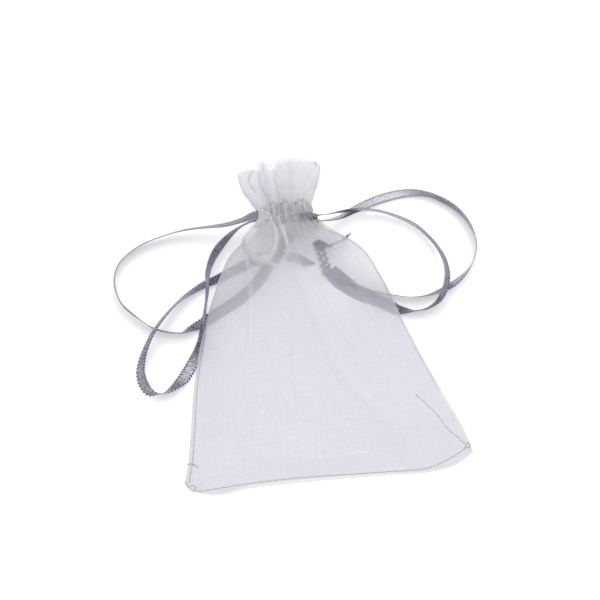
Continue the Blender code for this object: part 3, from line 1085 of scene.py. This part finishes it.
@dataclass
class Pouch:
    """The two panels, their turned-down hems and every row of stitching."""

    left_edge: Sequence[tuple[float, float]] = (
        (-46.4, -32.6), (-43.5, -34.1), (-36.0, -32.9), (-30.0, -31.8), (-15.0, -29.1), (-3.3, -25.9),
        (6.3, -22.3),
        (14.0, -18.8), (18.9, -15.8), (22.5, -11.6), (25.5, -8.2), (30.5, -7.4), (34.5, -8.4),
        (39.0, -10.0), (46.4, -10.9),
    )
    right_edge: Sequence[tuple[float, float]] = (
        (-46.4, 34.6), (-43.4, 34.7), (-37.7, 33.8), (-27.0, 30.7), (-15.1, 27.4), (-4.3, 24.5),
        (8.2, 21.4), (17.6, 16.9), (21.4, 12.6), (24.4, 8.8), (27.0, 7.1), (30.5, 7.0),
        (36.0, 8.8), (41.0, 10.6), (46.4, 12.0),
    )
    # place across, and y of the bottom edge there
    bottom_edge: Sequence[tuple[float, float]] = (
        (-1.0, -41.6), (-0.975, -43.2), (-0.92, -44.3), (-0.55, -44.6), (0.0, -45.3), (0.40, -46.2),
        (0.68, -46.8), (0.90, -45.5), (1.0, -43.4),
    )
    # place across, and how far below the tallest fold the header's edge is there
    top_edge: Sequence[tuple[float, float]] = (
        (-1.0, -3.0), (-0.93, -1.9), (-0.84, -1.4), (-0.75, -1.25), (-0.60, -1.3), (-0.51, -1.7),
        (-0.48, -0.5),
        (-0.44, -0.1), (-0.38, 0.0), (-0.30, -0.4), (-0.22, -1.2), (-0.15, -2.1), (-0.12, -2.4),
        (-0.09, -1.5),
        (-0.02, -0.5), (0.08, -0.1), (0.16, 0.0), (0.35, -0.1), (0.60, -0.5), (0.80, -1.1), (0.92, -1.7),
        (0.97, -2.3), (1.0, -3.3),
    )
    # y, height of the side edge, top of the front, underside of the back
    heights: Sequence[tuple[float, float, float, float]] = (
        (-46.8, 0.7, 1.2, 0.25), (-43.0, 0.9, 2.6, 0.10), (-36.0, 1.1, 4.6, 0.08), (-27.0, 1.3, 5.8, 0.08),
        (-14.0, 1.6, 6.8, 0.10), (-5.0, 2.2, 7.3, 1.00), (5.0, 3.1, 7.7, 2.00), (12.0, 4.0, 7.9, 3.00),
        (18.0, 4.9, 8.0, 3.20), (22.0, 5.3, 7.9, 3.10), (25.0, 5.5, 7.7, 3.00), (30.0, 5.4, 7.5, 3.00),
        (37.0, 4.7, 6.5, 2.60), (42.0, 4.1, 5.6, 2.80), (46.8, 3.7, 5.0, 2.90),
    )
    width: float = 70.0
    length: float = 92.0
    hem: float = 23.0
    header_top: float = 46.2
    casing_low: float = 24.4
    casing_high: float = 30.6
    columns: int = 261
    rows: int = 261
    hem_foot: float = 23.4
    hem_rows: int = 90
    hem_reach: float = 0.965
    # how far out the pleats stand, and how deep the ribbon and the hem lie under the panel
    front_pleat: float = 1.0
    back_pleat: float = 1.6
    hem_pleat: float = 1.0
    ribbon_depth: float = 0.25
    hem_depth: float = 0.45
    # how far the header's edge is moved up on each side
    front_rise: float = 0.2
    back_rise: float = 2.8
    # seam lines across the cloth, and the thread's sizes
    left_seam: float = 0.968
    seam: float = 0.985
    thread_size: float = 0.15
    stitch: float = 1.5
    stitch_gap: float = 0.3
    stitch_dip: float = 0.1
    front_lobes: Lobes = Lobes((-1.0, -0.50, -0.13, 1.0), (1.25, 0.62, 0.55), (0.75, 1.15, 1.25))
    back_lobes: Lobes = Lobes((-1.0, -0.34, 0.30, 1.0))
    thins: Sequence[Thin] = (
        Thin((11.5, 10.5), (9.5, 11.0), 1.5, 0.55, 0.20),
        Thin((5.6, 25.8), (2.6, 1.2), 1.6, 1.2, 0.0),
    )
    folds: Sequence[Fold] = (
        Fold(
            ((0.0, 16.0), (1.4, 3.0), (3.7, -7.8), (7.6, -22.1), (15.2, -32.9), (23.0, -40.0)),
            1.1, 1.6, 0.55,
        ),
        Fold(((3.0, 10.0), (4.4, 3.4), (7.5, -4.6), (12.1, -14.6), (16.5, -24.0)), 0.7, 1.3, 0.42),
        Fold(((-2.6, 4.0), (-3.3, -5.9), (-4.8, -21.1), (-4.4, -30.0)), 0.6, 0.7, 0.40),
        Fold(((-3.4, 27.8), (-2.4, 25.0), (-1.7, 21.5), (-1.3, 17.0), (-1.0, 12.5)), 1.3, 0.55, 0.9),
        Fold(((-11.7, 19.0), (-12.0, 14.1), (-12.1, 8.6), (-13.4, -2.0), (-15.5, -14.0)), 0.6, 0.7, 0.45),
        Fold(((-18.0, 2.0), (-20.0, -8.0), (-23.5, -20.0), (-24.5, -31.0)), 0.5, 1.8, 0.15),
        Fold(((7.6, 21.0), (10.0, 14.0), (13.6, 6.0), (18.0, -4.0)), 0.5, 1.2, 0.25),
        Fold(((-21.0, -36.0), (-8.0, -40.5), (6.0, -41.5), (17.0, -41.0)), 0.3, 1.3, 0.12),
    )
    puff: Puff = Puff((-7.8, 21.6), (4.5, 8.3), 1.9)
    cloth: Organza = field(default_factory=Organza)
    thread: SewingThread = field(default_factory=SewingThread)

    def edges(self, y: np.ndarray) -> tuple[np.ndarray, np.ndarray]:
        """The left and right edges' x at y."""
        return smooth_through(self.left_edge, y)[0], smooth_through(self.right_edge, y)[0]

    def across(self, x: np.ndarray, y: np.ndarray) -> np.ndarray:
        """The place across the cloth, from -1 to 1, of a point at x and y."""
        left, right = self.edges(y)
        return 2 * (x - left) / (right - left) - 1

    def foot(self, a: np.ndarray) -> np.ndarray:
        """y of the bottom edge across the cloth."""
        return smooth_through(self.bottom_edge, a)[0]

    def tightness(self, y: np.ndarray) -> np.ndarray:
        """How tightly the cloth is gathered.

        Args:
            y: places along the pouch, in millimetres.

        Returns:
            1 in the casing, and less above and below it.
        """
        below = np.exp(-np.clip(self.casing_low - y, 0, None) / 6.0)
        above = np.exp(-np.clip(y - self.casing_high, 0, None) / 5.0)
        return below * above

    def surface(self, a: np.ndarray, y: np.ndarray, up: Face, layer: Layer = Layer.PANEL) -> np.ndarray:
        """Where a layer lies.

        Args:
            a: places across the cloth, from -1 at the left edge to 1 at the right.
            y: places along the pouch, in millimetres.
            up: the side of the pouch.
            layer: the panel, the ribbon under it or the hem.

        Returns:
            Points in millimetres, with the shape of a and a last axis of 3.
        """
        left, right = self.edges(y)
        edge, top, under = smooth_through(self.heights, y)
        x = left + (right - left) * (a + 1) / 2
        tight = self.tightness(y)
        side = 1 - a**6
        start = edge + up * (0.12 + 1.4 * tight**4)
        crown = 1 - np.abs(a) ** 2.4 if up > 0 else np.minimum(1.0, 1.25 * (1 - a**4))
        z = start + ((top if up > 0 else under) - start) * crown
        out, aside = (self.front_lobes if up > 0 else self.back_lobes).shape(a)
        frill = ease((y - self.casing_high + 1.5) / 9.0)
        z = z + up * frill * (2.1 * out - 0.5)
        x = x + 0.75 * frill * aside
        flat = np.stack([a * self.width / 2, y], axis=-1).reshape(-1, 2)
        turn = a * 29.0 + up + 1.3 * np.sin(y / 8.0 + 2 * a) + 1.1 * np.sin(a * 5.0 + 2 * up)
        uneven = 0.75 + 0.6 * rough(flat, 9.0, 2.2 * up).reshape(a.shape)
        if layer is Layer.PANEL:
            pleat = self.front_pleat if up > 0 else self.back_pleat
            z = z + up * pleat * tight * (1 + np.sin(turn)) * uneven * side
            x = x + 0.30 * tight * np.sin(2 * turn) * side
            z, x = self.creased(a, y, z, x, up, flat)
        elif layer is Layer.RIBBON:
            z = z - up * self.ribbon_depth
        else:
            inner = (1 - ease((y - 43.5) / 2.2)) * side
            wave = a * 37.0 - up + 1.5 * np.sin(y / 11.0)
            z = z - up * (self.hem_depth + self.hem_pleat * inner * (1 + np.sin(wave)))
            x = x - 0.25 * inner * np.sin(2 * wave)
        return np.stack([x, y, np.maximum(z, 0.06)], axis=-1)

    def creased(
        self, a: np.ndarray, y: np.ndarray, z: np.ndarray, x: np.ndarray, up: Face, flat: np.ndarray
    ) -> tuple[np.ndarray, np.ndarray]:
        """Add the soft waves of crisp cloth, the folds of the front and the crumpled gathers.

        Args:
            a: places across the cloth, from -1 to 1.
            y: places along the pouch, in millimetres.
            z: the smooth cloth's heights there.
            x: the smooth cloth's x there.
            up: the side of the pouch.
            flat: the places on the flat cloth, one row each.

        Returns:
            The new heights and the new x.
        """
        tight = self.tightness(y)
        soft = rough(flat, 15.0, 3.1 * up).reshape(a.shape)
        soft = soft + 0.4 * rough(flat, 7.0, 7.7 * up).reshape(a.shape)
        fine = rough(flat * [1.0, 0.35], 1.6, 11.3 * up).reshape(a.shape)
        tiny = rough(flat * [0.27, 1.0], 0.95, 19.9 * up).reshape(a.shape)
        tiny = tiny + 0.6 * rough(flat * [0.35, 1.0], 0.55, 23.3 * up).reshape(a.shape)
        inside = ease((self.length / 2 - np.abs(y)) / 8) * (1 - np.abs(a) ** 8)
        in_casing = np.exp(-(((y - 27.5) / 3.6) ** 4)) * (1 - a**4)
        z = z + up * (0.35 * soft * inside * (1 - tight) + 0.45 * fine * tight**2 * (1 - a**4))
        z = z + up * 0.95 * tiny * in_casing
        x = x + 0.30 * tiny * in_casing + 0.30 * fine * tight**2 * (1 - np.abs(a))
        if up > 0:
            for fold in self.folds:
                z = z + fold.height * fold.share(x, y)
            z = z + self.puff.lift(x, y)
        return z, x

    def density(self, points: np.ndarray, a: np.ndarray, up: Face) -> np.ndarray:
        """How much denser than one plain layer the cloth looks; this also paints the cloth lighter, a painted
        light in the gathers.

        Args:
            points: the cloth's points, in millimetres.
            a: their places across the cloth, from -1 to 1.
            up: the side of the pouch.

        Returns:
            From 1, densest, to -0.7, very open.
        """
        y = points[..., 1]
        below = np.clip(self.casing_low - y, 0, None)
        dense_and_painted_light = 0.42 * self.tightness(y) + 0.30 * ease((np.abs(a) - 0.972) / 0.012)
        dense_and_painted_light = dense_and_painted_light + 0.25 * np.exp(-below / 20.0) * ease((self.casing_high + 2 - y) / 4)
        dense_and_painted_light = dense_and_painted_light - 0.50 * ease((y - self.casing_high) / 5)
        dense_and_painted_light = dense_and_painted_light + (0.30 if up > 0 else 0.20) * ease((y - 43.8) / 1.2)
        if up > 0:
            dense_and_painted_light = dense_and_painted_light + 0.35 * self.puff.lift(points[..., 0], y) / self.puff.height
        return np.clip(dense_and_painted_light - sum(thin.share(points, up) for thin in self.thins), -0.7, 1)

    def rims(self, points: np.ndarray, up: Face) -> np.ndarray:
        """Where a fold turns over: the cloth is made denser there and painted lighter, a painted highlight.

        Args:
            points: the cloth's points, in millimetres.
            up: the side of the pouch; only the front has such folds.

        Returns:
            From 0 to 1 at each point.
        """
        x, y = points[..., 0], points[..., 1]
        if up < 0:
            return np.zeros_like(x)
        return np.clip(self.puff.edge(x, y) + sum(fold.dense_and_painted_light * fold.share(x, y) for fold in self.folds), 0, 1)

    def painted_neck_light(self, y: np.ndarray) -> np.ndarray:
        """The painted light on the header and the casing: how much lighter they are painted, from 0 to 1."""
        return 0.58 * ease((y - self.casing_high) / 5) + 0.75 * np.exp(-(((y - 28.5) / 5.5) ** 2))

    def layer(
        self, name: str, up: Face, layer: Layer, low: Callable[[np.ndarray], np.ndarray]
    ) -> bpy.types.Object:
        """Make one layer of cloth from its lower edge to the header's fold.

        Args:
            name: the piece's name.
            up: the side of the pouch.
            layer: the panel or the hem.
            low: y of its lower edge at a place across the cloth.

        Returns:
            The new piece.
        """
        is_panel = layer is Layer.PANEL
        rows, reach = (self.rows, 1.0) if is_panel else (self.hem_rows, self.hem_reach)
        a, t = np.meshgrid(np.linspace(-reach, reach, self.columns), np.linspace(0, 1, rows))
        y = low(a) + (self.header_top - low(a)) * t
        points = self.surface(a, y, up, layer)
        rise = smooth_through(self.top_edge, a)[0] + (self.front_rise if up > 0 else self.back_rise)
        points[..., 1] += rise * ease((y - 34) / 12)
        flat = np.stack([a * self.width / 2, y], axis=-1)
        # The marks set the cloth's cover and its painted light: gathers, rims and the neck are painted
        # lighter.
        marks = {
            "gather_and_painted_light": self.density(points, a, up),
            "rim": self.rims(points, up if is_panel else Face.BACK),
            "light": self.painted_neck_light(y),
        }
        piece = grid_mesh(name, points, flat, marks)
        piece.data.materials.append(self.cloth.material(f"{name}_organza"))
        return piece

    def build(self) -> None:
        """Make the cloth and its stitching."""
        self.panels()
        self.seams()
        self.casing_rows()

    def panels(self) -> None:
        """Make the front and back panels and their hems."""
        for word, up in (("front", Face.FRONT), ("back", Face.BACK)):
            panel = self.layer(f"{word}_organza", up, Layer.PANEL, self.foot)
            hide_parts(f"{word}_panel")
            hem = self.layer(f"{word}_turned_hem", up, Layer.HEM, lambda a: np.full_like(a, self.hem_foot))
            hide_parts(f"{word}_hem")
            for piece in (panel, hem):
                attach(piece, "pouch")
                LOG.info("made %s", piece.name)

    def on_front(self, places: Sequence[tuple[float, float]], proud: float) -> np.ndarray:
        """Lay a smooth line on the front panel.

        Args:
            places: (x, y) places that the line passes through.
            proud: how far above the cloth it lies.

        Returns:
            The line's points, in millimetres.
        """
        rows = catmull(np.array(places, float), 10)
        line = self.surface(self.across(rows[:, 0], rows[:, 1]), rows[:, 1], Face.FRONT)
        line[:, 2] += proud
        return line

    def at_side(self, places: np.ndarray, across: float, up: Face) -> np.ndarray:
        """Points of a panel at places along it, all at one place across it."""
        return self.surface(np.full_like(places, across), places, up)

    def sew(self, name: str, node: str, runs: Sequence[np.ndarray], loose: Sequence[np.ndarray] = ()) -> None:
        """Sew rows of thread as stitches, with any loose ends of the same thread.

        Args:
            name: the piece's name.
            node: the CAD node it stands for.
            runs: lines of points that become stitches.
            loose: lines of points that become unbroken thread.
        """
        made = [
            stitch for run in runs for stitch in dashes(run, self.stitch, self.stitch_gap, self.stitch_dip)
        ]
        piece = threads(name, made + list(loose), self.thread_size)
        piece.data.materials.append(self.thread.material(f"{name}_thread"))
        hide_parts(node)
        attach(piece, "pouch")
        LOG.info("made %s", piece.name)

    def seams(self) -> None:
        """Sew the two sides, the bottom and the sides of the header."""
        low, high = np.linspace(-41.6, -6.0, 40), np.linspace(-6.0, 22.2, 30)
        left = [self.at_side(low, -self.left_seam, Face.FRONT), self.at_side(high, -self.seam, Face.BACK)]
        corner = self.on_front(((-33.6, -36.9), (-32.4, -36.8), (-31.5, -37.3), (-30.8, -38.4)), 0.1)
        self.sew("left_seam_stitching", "left_side_seam", left, [corner])
        upper = self.at_side(np.linspace(-26.0, 22.2, 50), self.seam, Face.BACK)
        inward = ((23.6, -27.4), (25.8, -30.2), (28.1, -33.6), (29.8, -37.2), (31.6, -39.3), (33.2, -41.5))
        loop = ((33.2, -41.5), (33.8, -41.1), (34.3, -41.8), (33.7, -42.4), (33.1, -41.7))
        right = [upper, self.on_front(inward, 0.03)]
        self.sew("right_seam_stitching", "right_side_seam", right, [self.on_front(loop, 0.15)])
        foot = (
            (-33.2, -43.3), (-31.0, -44.0), (-27.3, -44.1), (-20.5, -44.1), (-7.4, -44.5), (11.6, -45.7),
            (21.4, -46.2), (24.8, -45.8), (27.2, -45.1), (30.2, -43.9), (32.6, -42.6), (33.2, -41.7),
        )
        tail = ((-34.2, -41.0), (-33.6, -42.6), (-32.3, -42.4), (-31.9, -43.6))
        bottom = [self.on_front(foot, 0.03)]
        self.sew("bottom_seam_stitching", "bottom_seam", bottom, [self.on_front(tail, 0.1)])
        header = np.linspace(33.0, 45.2, 20)
        left_end = ((-7.3, 44.0), (-8.0, 41.5), (-7.7, 39.0), (-6.8, 36.0))
        right_end = ((9.4, 45.0), (9.8, 44.2), (9.5, 43.4))
        for side, end in ((Side.LEFT, left_end), (Side.RIGHT, right_end)):
            word = side.name.lower()
            sewn = self.at_side(header, side.value * self.seam, Face.BACK)
            self.sew(f"{word}_header_stitching", f"{word}_header_seam", [sewn], [self.on_front(end, 0.05)])

    def casing_rows(self) -> None:
        """Sew the two rows that make the casing, front and back."""
        a = np.linspace(-0.93, 0.93, 110)
        for word, y in (("upper", self.casing_high), ("lower", self.casing_low)):
            for face, up in (("front", Face.FRONT), ("back", Face.BACK)):
                wave = y + 0.45 * np.sin(a * 11 + up) + 0.3 * np.sin(a * 23 + y)
                line = self.surface(a, wave, up)
                line[:, 2] += up * 0.06
                self.sew(f"{face}_{word}_casing_thread", f"{face}_{word}_casing_stitch", [line])


# ---------------------------------------------------------------- whole object


@dataclass
class CasingRun:
    """The stretch of ribbon inside the casing, under the gathered cloth."""

    side: Side
    y: float
    pouch: Pouch
    strip: Strip = field(default_factory=lambda: Strip(width=2.4, tooth_depth=0.0, cup=0.0))
    bight: float = 0.4
    step: float = 0.18

    def line(self) -> np.ndarray:
        """Lead the ribbon through the front, round the far side and back.

        Returns:
            The centreline's points, evenly spaced, in millimetres.
        """
        ways = self.side.value * np.linspace(1.04, -0.98, 40)
        y = np.full_like(ways, self.y)
        front = self.pouch.surface(ways, y, Face.FRONT, Layer.RIBBON)
        back = self.pouch.surface(ways[::-1], y, Face.BACK, Layer.RIBBON)
        top, low = front[-1], back[0]
        turn = np.radians(np.linspace(60, -60, 7))
        bend = np.stack([
            top[0] - self.side.value * self.bight * np.cos(turn),
            np.full_like(turn, self.y),
            (top[2] + low[2]) / 2 + (top[2] - low[2]) / 2 * np.sin(turn) / math.sin(turn[0]),
        ], axis=1)
        return even_steps(np.concatenate([front, bend, back]), self.step)

    def build(self) -> None:
        """Make the ribbon, with its width along y all the way round."""
        word, line = self.side.name.lower(), self.line()
        wide = np.tile([0.0, 1.0, 0.0], (len(line), 1))
        piece = self.strip.skin(f"{word}_casing_ribbon", line, wide, self.strip.width)
        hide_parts(f"{word}_ribbon_run")
        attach(piece, f"{word}_drawstring")
        LOG.info("made %s", piece.name)


def main() -> None:
    """Build the camera, the ribbons and the pouch, and report each piece."""
    logging.basicConfig(level=logging.INFO, format="%(name)s: %(message)s")
    Studio().build()
    pouch = Pouch()
    Drawstring(Side.LEFT, LEFT_ROUTES, Knot((-4.0, 19.8), 20.0, Tie.OVERHAND, 1.9)).build()
    Drawstring(Side.RIGHT, RIGHT_ROUTES, Knot((7.9, 16.3), 6.0, Tie.PLAITED, 0.8)).build()
    CasingRun(Side.LEFT, 28.95, pouch).build()
    CasingRun(Side.RIGHT, 26.05, pouch).build()
    pouch.build()


if __name__ == "__main__":
    main()
